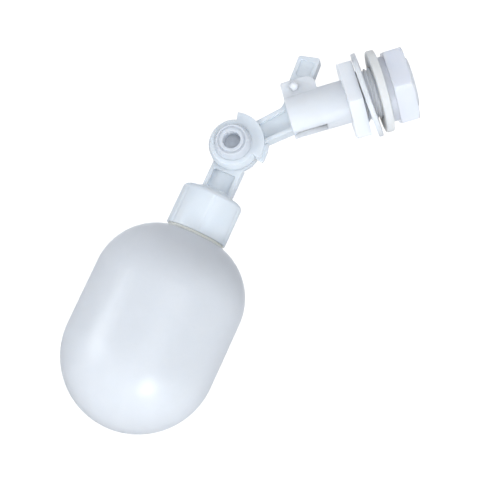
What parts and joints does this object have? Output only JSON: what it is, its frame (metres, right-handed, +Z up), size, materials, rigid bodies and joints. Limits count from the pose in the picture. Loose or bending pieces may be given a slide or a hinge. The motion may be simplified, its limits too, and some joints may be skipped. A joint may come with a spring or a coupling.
{
  "type": "float valve",
  "caption": "White plastic float valve with a threaded inlet stem, lock nut, washers, pivoting lever, adjustable knuckle and capsule float.",
  "frame": {"origin": "on the stem axis, at the face of the body hex that clamps on the tank wall", "axes": "+X along the stem towards the supply, +Z up, +Y across the valve along the pivot pin"},
  "size_m": [0.1301, 0.049, 0.1032],
  "materials": {
    "white_acetal": "moulded satin white plastic",
    "seat_plastic": "smooth moulded plastic",
    "black_rubber": "moulded nitrile rubber",
    "pin_plastic": "smooth moulded plastic",
    "washer_steel": "stamped stainless steel",
    "white_arm": "moulded satin white plastic",
    "bolt_plastic": "smooth moulded plastic",
    "friction_washer": "matt washer",
    "cream_gasket": "soft cream gasket",
    "milky_float": "blow-moulded milky plastic",
    "pale_rubber": "soft off-white rubber"
  },
  "bodies": {
    "valve": {"valve_body": "white_acetal", "seat_insert": "seat_plastic", "seat_o_ring": "black_rubber", "inlet_strainer": "seat_plastic", "pivot_pin": "pin_plastic", "pin_cap": "pin_plastic"},
    "lever": {"lever": "white_arm", "knuckle_bolt": "bolt_plastic", "knuckle_washer": "friction_washer", "knuckle_nut": "bolt_plastic"},
    "float": {"float_arm": "white_arm", "cap_gasket": "cream_gasket", "float_shell": "milky_float", "neck_plug": "seat_plastic"},
    "plunger": {"plunger": "seat_plastic", "seal_washer": "washer_steel", "plunger_seal": "black_rubber", "plunger_head": "seat_plastic"},
    "flat_washer": {"flat_washer": "white_acetal"},
    "rubber_washer": {"rubber_washer": "pale_rubber"},
    "lock_nut": {"lock_nut": "white_acetal"}
  },
  "joints": [
    {"name": "lever_pivot", "type": "hinge", "parent": "valve", "child": "lever", "pos_m": [-0.01925, 0, 0.0082], "axis": [0, 1, 0], "range_deg": [0, 16]},
    {"name": "plunger_slide", "type": "slide", "parent": "valve", "child": "plunger", "axis": [-1, 0, 0], "range_m": [0, 0.0023]},
    {"name": "knuckle_adjust", "type": "hinge", "parent": "lever", "child": "float", "pos_m": [-0.0427, 0, -0.0036], "axis": [0, 1, 0], "range_deg": [-55, 125]},
    {"name": "flat_washer_slide", "type": "slide", "parent": "valve", "child": "flat_washer", "axis": [1, 0, 0], "range_m": [0, 0.0001]},
    {"name": "rubber_washer_slide", "type": "slide", "parent": "valve", "child": "rubber_washer", "axis": [1, 0, 0], "range_m": [0, 0.0001]},
    {"name": "nut_travel", "type": "slide", "parent": "valve", "child": "lock_nut", "axis": [1, 0, 0], "range_m": [0, 0.006]}
  ],
  "couplings": [
    {"joint": "plunger_slide", "follows": "lever_pivot", "m_per_rad": 0.008173}
  ]
}
